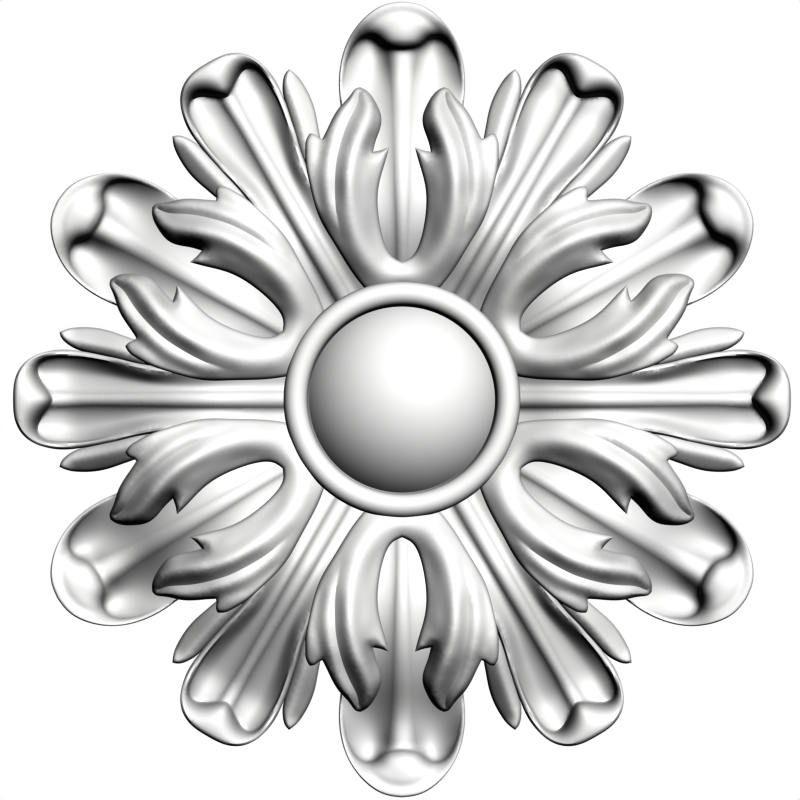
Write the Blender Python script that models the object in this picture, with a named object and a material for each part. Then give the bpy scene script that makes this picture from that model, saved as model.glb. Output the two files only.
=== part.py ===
# Carved rosette to fix on a wall or a panel: a domed boss in a round ring, six wide spoon
# petals, six narrower petals with a small leaf at each side, and six two-armed acanthus forks
# that lie over the wide petals. It is carved from one block, so it is one solid.
# The flat back lies in the plane y = 0 with the origin at its centre. The carving faces -Y and
# one wide petal points up +Z.

import bmesh
import bpy
import numpy as np
from mathutils import Vector
from mathutils.geometry import delaunay_2d_cdt

# Every leaf is drawn in a frame of its own, in millimetres: u across the leaf, v out from the
# centre of the rosette along the leaf's axis, and h up from the flat back.
MM = 0.001
FOLD = 6
WIDE_START = 30.0
NARROW_START = 0.0

# Boss: a cap of a ball inside a half-round ring.
DOME_RADIUS = 23.4
DOME_BALL = 27.7
DOME_FOOT_HEIGHT = 20.1
RING_MIDDLE = 26.75
RING_ROUND = 3.0
RING_HEIGHT = 21.1
BOSS_SIDES = 56
DOME_RINGS = 6
RING_RINGS = 7

# Shapes that the two kinds of petal share: how a rib's slope grows towards its edge, the length
# of the sharp foot beside it, and how upright the curl of the tip starts from its lip.
RIB_POWER = 1.4
FOOT_LENGTH = 0.45
LIP_SHARPNESS = 24.0
LIP_DETAIL = 0.5

# Wide petal: its outline, the crest of its middle rib, the slopes beside it, its two bowls, and
# the tip that rolls over from the lip. An edge is the width that turns over and its last slope.
WIDE_LENGTH = 100.0
WIDE_SIDE = [(11.6, 37.7), (14.2, 65.8), (15.6, 75.4), (15.85, 80.0), (15.2, 85.5), (13.8, 89.8),
             (11.4, 93.8), (8.3, 97.0), (4.3, 99.3), (0.0, WIDE_LENGTH)]
WIDE_ROOT = (7.5, 25.0)
WIDE_CREST = [(25.0, 11.8), (35.7, 19.15), (42.75, 23.0), (51.0, 24.8), (57.85, 23.95),
              (64.1, 21.6), (71.65, 16.8), (77.0, 12.75), (81.5, 10.5), (86.5, 9.85)]
WIDE_RIB_EDGE = [(25.0, 1.5), (44.0, 1.5), (52.0, 1.8), (60.0, 2.0), (68.0, 2.2), (76.0, 2.5),
                 (82.0, 3.0), (86.0, 3.5), (90.0, 3.7)]
WIDE_RIB_SLOPE = [(25.0, 1.0), (52.0, 1.05), (76.0, 1.15), (82.0, 1.45), (86.0, 1.75), (90.0, 1.8)]
WIDE_FLANK_SLOPE = [(25.0, 0.3), (44.0, 0.3), (52.0, 0.45), (60.0, 0.6), (68.0, 0.7), (76.0, 0.9),
                    (82.0, 1.35), (86.0, 1.7), (90.0, 1.75)]
WIDE_BOWL_PLACE = [(25.0, 6.5), (52.0, 6.5), (60.0, 7.5), (76.0, 8.4), (82.0, 8.0), (90.0, 7.4)]
WIDE_SIDE_RISE = [(60.0, 0.0), (72.0, 0.02), (76.0, 0.06), (80.0, 0.115), (84.0, 0.15), (90.0, 0.16)]
SIDE_RISE_POWER = 1.85
WIDE_LIP = [(15.2, 72.0), (14.9, 78.0), (14.3, 83.0), (13.3, 86.8), (12.0, 89.2), (10.0, 90.8),
            (8.05, 91.1), (6.3, 90.4), (5.0, 89.4), (3.5, 88.6), (1.5, 88.3), (0.0, 88.2)]
WIDE_LIP_BEFORE = [(0.0, 2.2), (4.0, 4.0), (8.0, 4.5), (12.0, 3.5), (16.0, 2.0)]
WIDE_LIP_AFTER = 4.6
WIDE_LIP_SHARE = (0.12, 0.4)
WIDE_LIP_SHARE_START = (84.0, 88.0)
WIDE_RIM_HEIGHT = [(62.85, 16.65), (75.4, 11.3), (80.45, 10.8), (84.2, 10.6), (88.0, 11.2),
                   (90.5, 12.3), (93.0, 13.7), (95.55, 15.0), (98.0, 15.7), (100.0, 15.9)]
WIDE_ROLL_HEIGHT = [(85.5, 15.0), (89.25, 15.8), (93.0, 16.3), (95.5, 16.2), (100.0, 15.9)]
WIDE_ROLL_SPAN = 12.0
WIDE_ROLL_START = (84.2, 90.5)
GROOVE_INSET = 2.65
GROOVE_WIDTH = 1.15
GROOVE_DEPTH = 0.6
GROOVE_START = (86.7, 93.0)
WIDE_EDGE = (0.6, 3.0)

# Narrow petal: the same parts, slimmer, with a squarer tip and a raised rim at each side.
NARROW_LENGTH = 97.75
NARROW_SIDE = [(7.55, 37.7), (7.9, 57.85), (9.55, 67.9), (11.3, 75.4), (12.3, 81.7), (12.55, 85.5),
               (12.05, 89.25), (10.8, 92.75), (8.55, 95.55), (5.05, 97.3), (0.0, NARROW_LENGTH)]
NARROW_ROOT = (7.5, 25.0)
NARROW_CREST = [(25.0, 11.6), (32.0, 15.7), (36.0, 18.3), (40.0, 20.4), (44.0, 21.9), (48.0, 22.6),
                (52.0, 22.1), (56.0, 20.8), (60.0, 18.9), (64.0, 16.6), (72.0, 11.7), (80.0, 6.9),
                (84.0, 5.1), (88.0, 4.8)]
NARROW_RIB_EDGE = [(25.0, 2.0), (48.0, 1.95), (56.0, 1.9), (64.0, 1.75), (72.0, 1.6), (80.0, 1.6),
                   (86.0, 1.95), (90.0, 2.0)]
NARROW_RIB_SLOPE = 1.6
NARROW_FLANK_SLOPE = [(25.0, 0.6), (48.0, 0.9), (56.0, 0.9), (64.0, 0.8), (72.0, 0.9), (80.0, 0.85),
                      (86.0, 0.75), (90.0, 0.7)]
NARROW_BOWL_PLACE = [(25.0, 3.4), (32.0, 3.5), (48.0, 3.0), (56.0, 3.2), (64.0, 3.9), (68.0, 4.5),
                     (72.0, 5.2), (76.0, 5.7), (80.0, 6.2), (88.0, 6.4)]
NARROW_RIM_PLACE = [(25.0, 6.5), (48.0, 7.5), (56.0, 8.0), (64.0, 7.6), (68.0, 9.0), (72.0, 11.2),
                    (76.0, 14.5), (80.0, 16.5), (88.0, 17.0)]
NARROW_RIM_RISE = [(25.0, 1.0), (40.0, 1.2), (48.0, 2.2), (56.0, 3.2), (64.0, 3.8), (68.0, 4.3),
                   (72.0, 5.9), (76.0, 8.4), (80.0, 9.0), (88.0, 9.0)]
NARROW_LIP = [(8.5, 70.0), (9.4, 74.0), (10.15, 78.0), (10.55, 81.0), (10.65, 84.0), (10.6, 87.0),
              (10.1, 89.6), (9.2, 91.0), (8.0, 91.75), (6.55, 91.8), (4.8, 91.0), (3.0, 89.7),
              (1.5, 88.7), (0.0, 88.2)]
NARROW_LIP_BEFORE = 1.2
NARROW_LIP_AFTER = [(70.0, 0.9), (84.0, 1.0), (88.0, 2.4), (91.0, 4.4), (98.0, 4.6)]
NARROW_LIP_SHARE = 0.14
NARROW_RIM_HEIGHT = [(66.0, 15.6), (70.4, 13.9), (75.4, 11.2), (80.0, 8.9), (84.0, 7.7), (87.0, 8.2),
                     (89.25, 9.6), (91.75, 11.2), (93.55, 12.3), (95.55, 13.2), (97.8, 13.6)]
NARROW_ROLL_HEIGHT = [(85.5, 12.0), (89.25, 13.6), (91.75, 14.8), (94.3, 15.3), (97.8, 14.7)]
NARROW_ROLL_SPAN = 10.6
NARROW_ROLL_START = (84.2, 90.5)
NARROW_LIP_START = (69.0, 75.0)
NARROW_EDGE = (1.2, 3.5)

# Small leaf at each side of a narrow petal, drawn at its right.
LEAF_OUTER_SIDE = [(9.8, 57.85), (12.6, 62.6), (14.7, 66.4), (16.05, 70.0), (17.4, 74.0),
                   (18.1, 78.0), (18.15, 81.0), (17.7, 84.2), (16.9, 86.1)]
LEAF_INNER_SIDE = [(16.9, 86.1), (15.7, 85.7), (14.0, 84.1), (12.7, 81.9), (11.6, 78.3), (10.6, 74.0),
                   (9.4, 69.0), (7.5, 59.1)]
LEAF_SPINE = [(9.2, 60.35), (10.8, 66.0), (12.0, 70.0), (13.0, 74.0), (13.8, 78.0), (14.4, 81.0),
              (15.2, 84.0), (16.5, 85.6)]
LEAF_TOP = [(57.85, 19.3), (65.35, 17.4), (70.0, 15.3), (74.0, 12.9), (78.0, 10.5), (81.0, 8.9),
            (84.0, 7.5), (86.3, 6.5)]
LEAF_LEAN = 1.25
LEAF_ROUND = 1.15
LEAF_EDGE = (0.8, 3.0)

# Acanthus fork, right arm; the left arm mirrors it. Each line runs along the arm with its height.
FORK_TIP = (10.5, 78.5, 14.6)
FORK_LOBE_TIP = (23.2, 66.9, 23.2)
FORK_OUTER_NOTCH = (20.0, 65.5, 24.9)
FORK_HOOK_TIP = (3.3, 63.4, 23.3)
FORK_INNER_NOTCH = (7.3, 62.3, 24.0)
FORK_ROOT = [(0.0, 27.65, 20.35), (5.55, 27.15, 20.35), (9.55, 28.15, 20.2)]
FORK_OUTER_SIDE = [(9.55, 28.15, 20.2), (11.2, 30.2, 21.0), (13.2, 33.0, 22.4), (15.2, 36.2, 24.0),
                   (17.5, 40.0, 24.9), (20.0, 44.2, 25.4), (21.6, 48.0, 26.4), (22.7, 52.0, 27.0),
                   (23.6, 56.0, 27.2), (24.25, 60.0, 26.5), (24.3, 63.0, 25.3), (24.0, 65.5, 24.0),
                   FORK_LOBE_TIP]
FORK_LOBE_TOP = [FORK_LOBE_TIP, (22.0, 66.7, 23.7), (20.9, 65.9, 24.4), FORK_OUTER_NOTCH]
FORK_SHOULDER = [FORK_OUTER_NOTCH, (18.8, 67.9, 24.0), (17.3, 71.0, 22.1), (15.4, 73.8, 20.2),
                 (13.9, 75.4, 18.4), (12.5, 77.2, 16.5), (11.6, 78.2, 15.2), FORK_TIP]
FORK_BLADE_INNER = [FORK_TIP, (9.4, 78.0, 14.9), (8.0, 76.8, 16.0), (6.3, 74.1, 17.4),
                    (5.2, 70.8, 18.9), (5.5, 68.2, 19.9), (6.5, 65.4, 21.3), FORK_INNER_NOTCH]
FORK_HOOK_TOP = [FORK_INNER_NOTCH, (5.2, 62.7, 23.7), FORK_HOOK_TIP]
FORK_WINDOW = [FORK_HOOK_TIP, (3.9, 61.0, 24.1), (5.0, 57.3, 25.1), (5.9, 53.5, 25.6),
               (6.15, 49.1, 25.3), (5.7, 44.7, 24.1), (4.4, 39.3, 22.3), (2.3, 35.8, 21.4),
               (0.0, 34.6, 21.5)]
FORK_CREST = [(0.0, 31.45, 23.0), (4.55, 31.4, 23.4), (8.0, 33.1, 24.8), (10.0, 36.0, 26.6),
              (11.5, 40.0, 28.7), (12.5, 44.25, 30.4), (13.2, 48.0, 31.6), (13.55, 52.0, 32.5),
              (13.55, 56.0, 32.8), (13.05, 60.0, 32.0), (12.5, 63.0, 30.7), (11.7, 66.0, 28.9),
              (10.6, 69.0, 26.3), (9.4, 72.0, 23.4), (8.9, 75.0, 20.0), (9.6, 77.2, 16.9)]
FORK_VALLEY = [(15.1, 40.75, 27.15), (16.0, 44.5, 28.8), (16.6, 48.0, 29.7), (16.85, 52.0, 29.8),
               (16.8, 56.0, 30.1), (16.45, 60.0, 29.5), (15.8, 63.0, 28.4), (14.95, 66.0, 26.5),
               (13.85, 69.0, 24.3), (12.4, 72.0, 21.9), (11.2, 74.6, 19.2), (10.8, 77.2, 16.2)]
FORK_SMALL_RIDGE = [(16.9, 44.25, 28.25), (17.8, 48.0, 29.4), (18.4, 52.0, 29.9), (18.55, 56.0, 30.3),
                    (18.3, 60.0, 29.8), (17.8, 63.0, 28.8), (17.2, 66.0, 27.0), (16.4, 69.0, 25.0),
                    (15.1, 72.2, 22.7), (13.2, 75.0, 19.9), (11.9, 77.0, 17.2)]
FORK_OUTER_VALLEY = [(20.9, 63.0, 26.4), (21.3, 60.0, 27.6), (21.6, 56.0, 28.0), (21.4, 52.0, 27.5),
                     (20.4, 48.0, 27.2)]
FORK_LOBE_RIDGE = [(22.7, 65.0, 24.9), (22.6, 62.5, 26.5), (22.7, 59.5, 27.4)]
FORK_SHOULDER_LINE = [(5.0, 36.0, 23.5), (7.0, 40.0, 24.95), (8.0, 44.0, 26.3), (8.4, 48.0, 27.5),
                      (8.6, 52.0, 28.3), (8.5, 56.0, 28.6), (8.0, 60.0, 27.5)]
FORK_FLANK = [(7.5, 36.0, 25.7), (9.0, 40.0, 27.25), (10.0, 44.0, 28.65), (10.5, 48.0, 29.7),
              (10.7, 52.0, 30.4), (10.7, 56.0, 30.7), (10.2, 60.0, 29.8), (9.7, 63.0, 28.4),
              (9.0, 66.0, 26.95), (8.0, 69.0, 24.75), (7.3, 72.0, 22.2), (7.5, 74.6, 19.6)]
FORK_HOOK_RIDGE = [(5.9, 60.0, 26.0), (4.7, 61.9, 24.7)]
FORK_LINES = [FORK_CREST, FORK_VALLEY, FORK_SMALL_RIDGE, FORK_OUTER_VALLEY, FORK_LOBE_RIDGE,
              FORK_SHOULDER_LINE, FORK_FLANK, FORK_HOOK_RIDGE]
FORK_EDGE = (0.9, 3.0)
CREASE_DEPTH = 0.5
CREASE_WIDTH = 0.9
CREASE_START = (40.0, 48.0)

# How far the leaves run on behind the back before it is cut flat: each leaf's foot is a little
# deeper than the last, so that no two of them share a plane.
FIRST_FOOT = 2.0
FOOT_STEP = 0.15
CUT_DEPTH = 20.0

# Coarseness of the faces: step along drawn lines, along the fork's outline and along the lips,
# and the lines across a petal that the faces follow.
LINE_STEP = 5.0
FORK_STEP = 3.0
LIP_STEP = 3.0
STEP_PARTS = (-0.25, 0.2, 0.7)
STEP_BEFORE = 4.0
STEP_START = 86.0
RIB_START = 30.0
RIB_POINTS = 8
BOWL_START = 50.0
BOWL_POINTS = 5
LINE_END_GAP = 1.0
ROLL_INSET = 4.5
ROLL_HALF = 5.0
ROLL_FALL = 0.25
WELD = 0.05
SMALLEST_EDGE = 0.01
KEEP_IN = 0.35
SMOOTH_ANGLE = 32.0

# The thin plate that the fork is stretched as: its scale, its give, and the spacing of the
# points that hold it.
PLATE_SCALE = 12.5
PLATE_GIVE = 1e-3
PLATE_STEP = 0.7
PLATE_APART = 0.35
AXIS_GAP = 0.2
TINY = 1e-12


def clear_scene():
    for obj in list(bpy.data.objects):
        bpy.data.objects.remove(obj, do_unlink=True)


def spline(knots):
    """A natural cubic curve through (place, size) pairs, as a function of the place."""
    x, y = np.array(knots, float).T
    n = len(x)
    gap = np.diff(x)
    system = np.eye(n)
    bend = np.zeros(n)
    for i in range(1, n - 1):
        system[i, i - 1:i + 2] = gap[i - 1], 2 * (gap[i - 1] + gap[i]), gap[i]
        bend[i] = 6 * ((y[i + 1] - y[i]) / gap[i] - (y[i] - y[i - 1]) / gap[i - 1])
    curve = np.linalg.solve(system, bend)

    def size(place):
        t = np.clip(np.asarray(place, float), x[0], x[-1])
        i = np.clip(np.searchsorted(x, t) - 1, 0, n - 2)
        a = (x[i + 1] - t) / gap[i]
        b = 1 - a
        straight = a * y[i] + b * y[i + 1]
        return straight + ((a**3 - a) * curve[i] + (b**3 - b) * curve[i + 1]) * gap[i]**2 / 6

    return size


def drawn_line(knots, step=LINE_STEP):
    """A smooth line through the knots, as points about a step apart."""
    knots = np.array(knots, float)
    along = np.concatenate([[0], np.cumsum(np.hypot(*np.diff(knots[:, :2], axis=0).T))])
    count = max(2, int(round(along[-1] / step)) + 1)
    places = np.linspace(0, along[-1], count)
    return np.column_stack([spline(list(zip(along, column)))(places) for column in knots.T])


def chain(runs, step=LINE_STEP):
    """Smooth runs that meet at sharp corners, as one line."""
    lines = [drawn_line(run, step) for run in runs]
    return np.vstack([lines[0]] + [line[1:] for line in lines[1:]])


def flipped(line):
    """The line's mirror image on the other side of the leaf's axis."""
    turned = line.copy()
    turned[:, 0] *= -1
    return turned


def both_sides(line):
    """A line that ends on the leaf's axis, run on down the other side."""
    return np.vstack([line, flipped(line)[::-1][1:]])


def nearest(u, v, line):
    """How far each point is from a line, and on which side of it."""
    best = np.full(np.shape(u), np.inf)
    side = np.zeros(np.shape(u))
    for (x, y), (dx, dy) in zip(line[:, :2], np.diff(line[:, :2], axis=0)):
        t = np.clip(((u - x) * dx + (v - y) * dy) / (dx * dx + dy * dy), 0, 1)
        away = np.hypot(u - x - t * dx, v - y - t * dy)
        closer = away < best
        best = np.where(closer, away, best)
        side = np.where(closer, np.sign(dx * (v - y) - dy * (u - x)), side)
    return best, side


def ease(t):
    t = np.clip(t, 0, 1)
    return t * t * (3 - 2 * t)


def between(v, span):
    return ease((v - span[0]) / (span[1] - span[0]))


def rolled_off(distance, width, slope):
    """How far an edge has dropped: it ends at this slope, and starts this far in."""
    t = 1 - np.clip(distance / width, 0, 1)
    return slope * width / 3 * t**3


def rib_and_flank(x, rib_edge, rib_slope, flank_slope, bowl_place):
    """Drop from the rib's crest: a round top, a sharp foot and a flank that dies out in the bowl."""
    on_rib = rib_slope * rib_edge / (RIB_POWER + 1) * (np.minimum(x, rib_edge) / rib_edge)**(
        RIB_POWER + 1)
    out = np.clip(x - rib_edge, 0, bowl_place - rib_edge)
    foot = (rib_slope - flank_slope) * FOOT_LENGTH * (1 - np.exp(-out / FOOT_LENGTH))
    flank = flank_slope * (out - out**2 / (2 * (bowl_place - rib_edge)))
    return on_rib + foot + flank


def side_of_lip(u, v, lip):
    """Distance beyond the lip, negative on the bowls' side."""
    distance, side = nearest(u, v, drawn_line(both_sides(np.array(lip)), LIP_DETAIL))
    return np.where(side > 0, -distance, distance)


def turned_over(t):
    """From 0 to 1: nearly upright at first, then rolling over to level."""
    t = np.clip(t, 0, 1)
    level = LIP_SHARPNESS / (1 + LIP_SHARPNESS)
    return (np.log1p(LIP_SHARPNESS * t) - level * t) / (np.log1p(LIP_SHARPNESS) - level)


def step_up(beyond, before_width, after_width, share):
    """The share of the roll's height at each point, with the given share at the lip itself."""
    below = share * (1 - turned_over(-beyond / before_width))
    above = share + (1 - share) * turned_over(beyond / after_width)
    return np.where(beyond < 0, below, above)


def rolled_tip(x, v, rim_height, roll_height, span, start):
    rim = spline(rim_height)(v)
    crown = spline(roll_height)(v) - rim
    return rim + crown * (1 - ease(x / span)) * between(v, start)


def petal_outline(side, root):
    right = np.vstack([root, drawn_line(side)])
    return both_sides(right)


def wide_petal_outline():
    return petal_outline(WIDE_SIDE, WIDE_ROOT)


def wide_petal_height(u, v):
    x = np.abs(u)
    bowl = spline(WIDE_BOWL_PLACE)(v)
    low = spline(WIDE_CREST)(v) - rib_and_flank(x, spline(WIDE_RIB_EDGE)(v),
                                                spline(WIDE_RIB_SLOPE)(v),
                                                spline(WIDE_FLANK_SLOPE)(v), bowl)
    low = low + spline(WIDE_SIDE_RISE)(v) * np.maximum(x - bowl, 0)**SIDE_RISE_POWER
    high = rolled_tip(x, v, WIDE_RIM_HEIGHT, WIDE_ROLL_HEIGHT, WIDE_ROLL_SPAN, WIDE_ROLL_START)
    edge = nearest(u, v, wide_petal_outline())[0]
    groove = np.exp(-((edge - GROOVE_INSET) / GROOVE_WIDTH)**2)
    high = high - GROOVE_DEPTH * groove * between(v, GROOVE_START)
    least, most = WIDE_LIP_SHARE
    share = least + (most - least) * between(v, WIDE_LIP_SHARE_START)
    part = step_up(side_of_lip(u, v, WIDE_LIP), spline(WIDE_LIP_BEFORE)(x), WIDE_LIP_AFTER, share)
    return low * (1 - part) + high * part - rolled_off(edge, *WIDE_EDGE)


def narrow_petal_outline():
    return petal_outline(NARROW_SIDE, NARROW_ROOT)


def narrow_petal_height(u, v):
    x = np.abs(u)
    bowl = spline(NARROW_BOWL_PLACE)(v)
    low = spline(NARROW_CREST)(v) - rib_and_flank(x, spline(NARROW_RIB_EDGE)(v), NARROW_RIB_SLOPE,
                                                  spline(NARROW_FLANK_SLOPE)(v), bowl)
    rim = spline(NARROW_RIM_PLACE)(v)
    low = low + spline(NARROW_RIM_RISE)(v) * ease((x - bowl) / (rim - bowl))
    high = rolled_tip(x, v, NARROW_RIM_HEIGHT, NARROW_ROLL_HEIGHT, NARROW_ROLL_SPAN,
                      NARROW_ROLL_START)
    part = step_up(side_of_lip(u, v, NARROW_LIP), NARROW_LIP_BEFORE, spline(NARROW_LIP_AFTER)(v),
                   NARROW_LIP_SHARE) * between(v, NARROW_LIP_START)
    edge = nearest(u, v, narrow_petal_outline())[0]
    return low * (1 - part) + high * part - rolled_off(edge, *NARROW_EDGE)


def leaf_outline():
    return chain([LEAF_OUTER_SIDE, LEAF_INNER_SIDE])


def leaf_height(u, v):
    edge = nearest(u, v, np.vstack([leaf_outline(), leaf_outline()[:1]]))[0]
    spine = nearest(u, v, drawn_line(LEAF_SPINE))[0]
    fall = LEAF_LEAN * (np.sqrt(spine**2 + LEAF_ROUND**2) - LEAF_ROUND)
    return spline(LEAF_TOP)(v) - fall - rolled_off(edge, *LEAF_EDGE)


def fork_outline(step):
    right = chain([FORK_ROOT, FORK_OUTER_SIDE, FORK_LOBE_TOP, FORK_SHOULDER, FORK_BLADE_INNER,
                   FORK_HOOK_TOP, FORK_WINDOW], step)
    return np.vstack([right, flipped(right)[::-1][1:-1]])


def bent_plate(points):
    """A thin elastic plate held at the points (u, v, h): the smoothest surface through them."""
    at = points[:, :2] / PLATE_SCALE
    n = len(at)

    def pull(square):
        return square * np.log(square + TINY)

    square = ((at[:, None] - at[None])**2).sum(2)
    flat = np.hstack([np.ones((n, 1)), at])
    system = np.block([[pull(square) + np.eye(n) * PLATE_GIVE, flat], [flat.T, np.zeros((3, 3))]])
    weight = np.linalg.solve(system, np.concatenate([points[:, 2], np.zeros(3)]))

    def height(u, v):
        here = np.column_stack([np.ravel(u), np.ravel(v)]) / PLATE_SCALE
        square = ((here[:, None] - at[None])**2).sum(2)
        value = pull(square) @ weight[:n] + weight[n] + here @ weight[n + 1:]
        return value.reshape(np.shape(u))

    return height


def fork_surface():
    """The fork's height over both arms, stretched over its drawn lines."""
    outline = fork_outline(FORK_STEP)
    fine = fork_outline(PLATE_STEP)
    lines = [drawn_line(line, PLATE_STEP) for line in FORK_LINES]
    right = np.vstack([fine[fine[:, 0] >= 0]] + lines)
    apart = np.unique(np.round(right[:, :2] / PLATE_APART).astype(int), axis=0, return_index=True)[1]
    right = right[np.sort(apart)]
    plate = bent_plate(np.vstack([right, flipped(right[right[:, 0] > AXIS_GAP])]))
    closed = np.vstack([outline, outline[:1]])
    valley = drawn_line(FORK_VALLEY)

    def height(u, v):
        crease = nearest(np.abs(u), v, valley)[0]
        cut = CREASE_DEPTH * np.exp(-crease / CREASE_WIDTH) * between(v, CREASE_START)
        return plate(u, v) - cut - rolled_off(nearest(u, v, closed)[0], *FORK_EDGE)

    return height


def plan_mesh(outline, lines):
    """Triangles over an outline, with an edge along every line that is drawn on it."""
    points = [Vector(p[:2]) for p in outline]
    edges = []
    closed = np.vstack([outline, outline[:1]])
    for line in lines:
        away, side = nearest(line[:, 0], line[:, 1], closed)
        line = line[(side > 0) & (away > KEEP_IN)]
        first = len(points)
        points += [Vector(p[:2]) for p in line]
        edges += [(i, i + 1) for i in range(first, len(points) - 1)]
    found = delaunay_2d_cdt(points, edges, [list(range(len(outline)))], 1, WELD)
    return np.array([tuple(p) for p in found[0]]), [tuple(face) for face in found[2]]


def placed(points, angle):
    """Points of a leaf's own frame, turned to the leaf's angle on the rosette, in metres."""
    u, v, h = np.array(points, float).T * MM
    c, s = np.cos(np.radians(angle)), np.sin(np.radians(angle))
    return np.column_stack([v * c + u * s, -h, v * s - u * c])


def make_object(name, points, faces):
    mesh = bpy.data.meshes.new(name)
    mesh.from_pydata([tuple(p) for p in points], [], faces)
    mesh.validate()
    obj = bpy.data.objects.new(name, mesh)
    bpy.context.scene.collection.objects.link(obj)
    return obj


def carved_leaf(name, outline, lines, height, angle, foot):
    """A closed solid with the leaf's relief on top, straight sides and a flat foot."""
    flat, faces = plan_mesh(outline, lines)
    n = len(flat)
    top = np.column_stack([flat, height(flat[:, 0], flat[:, 1])])
    bottom = np.column_stack([flat, np.full(n, -foot)])
    rims = {(a, b) for face in faces for a, b in zip(face, face[1:] + face[:1])}
    walls = [(b, a, a + n, b + n) for a, b in rims if (b, a) not in rims]
    under = [tuple(i + n for i in reversed(face)) for face in faces]
    return make_object(name, placed(np.vstack([top, bottom]), angle), faces + walls + under)


def boss():
    """The dome and its ring, turned as one profile about the rosette's axis."""
    drop = np.sqrt(DOME_BALL**2 - DOME_RADIUS**2)
    swing = np.linspace(0, np.arcsin(DOME_RADIUS / DOME_BALL), DOME_RINGS + 1)[1:]
    dome = [(DOME_BALL * np.sin(t), DOME_FOOT_HEIGHT + DOME_BALL * np.cos(t) - drop) for t in swing]
    turn = np.linspace(np.pi, 0, RING_RINGS + 1)
    ring = [(RING_MIDDLE + RING_ROUND * np.cos(t), RING_HEIGHT + RING_ROUND * np.sin(t))
            for t in turn]
    profile = dome + ring + [(RING_MIDDLE + RING_ROUND, -FIRST_FOOT)]
    angles = np.arange(BOSS_SIDES) * 2 * np.pi / BOSS_SIDES
    points = [(0, -(DOME_FOOT_HEIGHT + DOME_BALL - drop) * MM, 0)]
    points += [(r * np.cos(a) * MM, -h * MM, r * np.sin(a) * MM) for r, h in profile for a in angles]
    points.append((0, FIRST_FOOT * MM, 0))
    faces = []
    for i in range(BOSS_SIDES):
        j = (i + 1) % BOSS_SIDES
        faces.append((0, 1 + i, 1 + j))
        for k in range(len(profile) - 1):
            a, b = 1 + k * BOSS_SIDES, 1 + (k + 1) * BOSS_SIDES
            faces.append((a + i, b + i, b + j, a + j))
        last = 1 + (len(profile) - 1) * BOSS_SIDES
        faces.append((last + i, len(points) - 1, last + j))
    return make_object("rosette", points, faces)


def inset_line(outline, inset):
    """The outline moved in by a little, to carry the top of a rounded edge or a rim."""
    ahead = np.roll(outline, -1, axis=0) - np.roll(outline, 1, axis=0)
    inward = np.column_stack([-ahead[:, 1], ahead[:, 0]])
    inward /= np.linalg.norm(inward, axis=1)[:, None]
    return (outline + inset * inward)[1:-1]


def offset_line(line, widths):
    """The lip line moved outwards by the width that the step has there."""
    ahead = np.gradient(line, axis=0)
    outward = np.column_stack([ahead[:, 1], -ahead[:, 0]])
    outward /= np.linalg.norm(outward, axis=1)[:, None]
    return line + outward * widths[:, None]


def petal_lines(outline, edge, lip, after, rib_edge, bowl_place, length):
    """The lines that a petal's coarse mesh follows: rim, lip, both sides of the step, rib, bowls."""
    lip_line = drawn_line(both_sides(np.array(lip)), LIP_STEP)
    widths = spline(after)(lip_line[:, 1])
    steps = [offset_line(lip_line, np.where(part > 0, widths, STEP_BEFORE) * part)
             for part in STEP_PARTS]
    steps = [line[line[:, 1] > STEP_START] for line in steps]
    lip_end = lip[-1][1]
    rib_v = np.linspace(RIB_START, lip_end - LINE_END_GAP, RIB_POINTS)
    rib = np.column_stack([spline(rib_edge)(rib_v), rib_v])
    crest = np.column_stack([np.zeros(RIB_POINTS), rib_v])
    bowl_v = np.linspace(BOWL_START, lip_end - LINE_END_GAP, BOWL_POINTS)
    bowl = np.column_stack([spline(bowl_place)(bowl_v), bowl_v])
    roll_u = np.array([-ROLL_HALF, 0.0, ROLL_HALF])
    roll = np.column_stack([roll_u, length - ROLL_INSET - np.abs(roll_u) * ROLL_FALL])
    rim = inset_line(outline, edge)
    return [rim, lip_line, *steps, rib, flipped(rib), crest, bowl, flipped(bowl), roll]


def wide_petal(angle, foot):
    outline = wide_petal_outline()
    after = [(0.0, WIDE_LIP_AFTER), (WIDE_LENGTH, WIDE_LIP_AFTER)]
    lines = petal_lines(outline, WIDE_EDGE[0], WIDE_LIP, after, WIDE_RIB_EDGE, WIDE_BOWL_PLACE,
                        WIDE_LENGTH)
    return carved_leaf("wide_petal", outline, lines, wide_petal_height, angle, foot)


def narrow_petal(angle, foot):
    outline = narrow_petal_outline()
    lines = petal_lines(outline, NARROW_EDGE[0], NARROW_LIP, NARROW_LIP_AFTER, NARROW_RIB_EDGE,
                        NARROW_BOWL_PLACE, NARROW_LENGTH)
    return carved_leaf("narrow_petal", outline, lines, narrow_petal_height, angle, foot)


def side_leaf(angle, foot, side):
    outline = leaf_outline()[:-1]
    spine = drawn_line(LEAF_SPINE)
    if side < 0:
        outline, spine = flipped(outline)[::-1], flipped(spine)
    return carved_leaf("side_leaf", outline, [spine], lambda u, v: leaf_height(side * u, v),
                       angle, foot)


def fork(angle, foot, height):
    lines = [drawn_line(line) for line in FORK_LINES]
    lines += [flipped(line) for line in lines]
    return carved_leaf("fork", fork_outline(FORK_STEP), lines, height, angle, foot)


def apply_boolean(body, other, operation):
    """Joins a solid to the body, or cuts it away, and keeps only the body."""
    cut = body.modifiers.new(operation.lower(), "BOOLEAN")
    cut.operation = operation
    cut.solver = "MANIFOLD"
    cut.object = other
    bpy.context.view_layer.objects.active = body
    bpy.ops.object.modifier_apply(modifier=cut.name)
    bpy.data.objects.remove(other, do_unlink=True)


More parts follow.
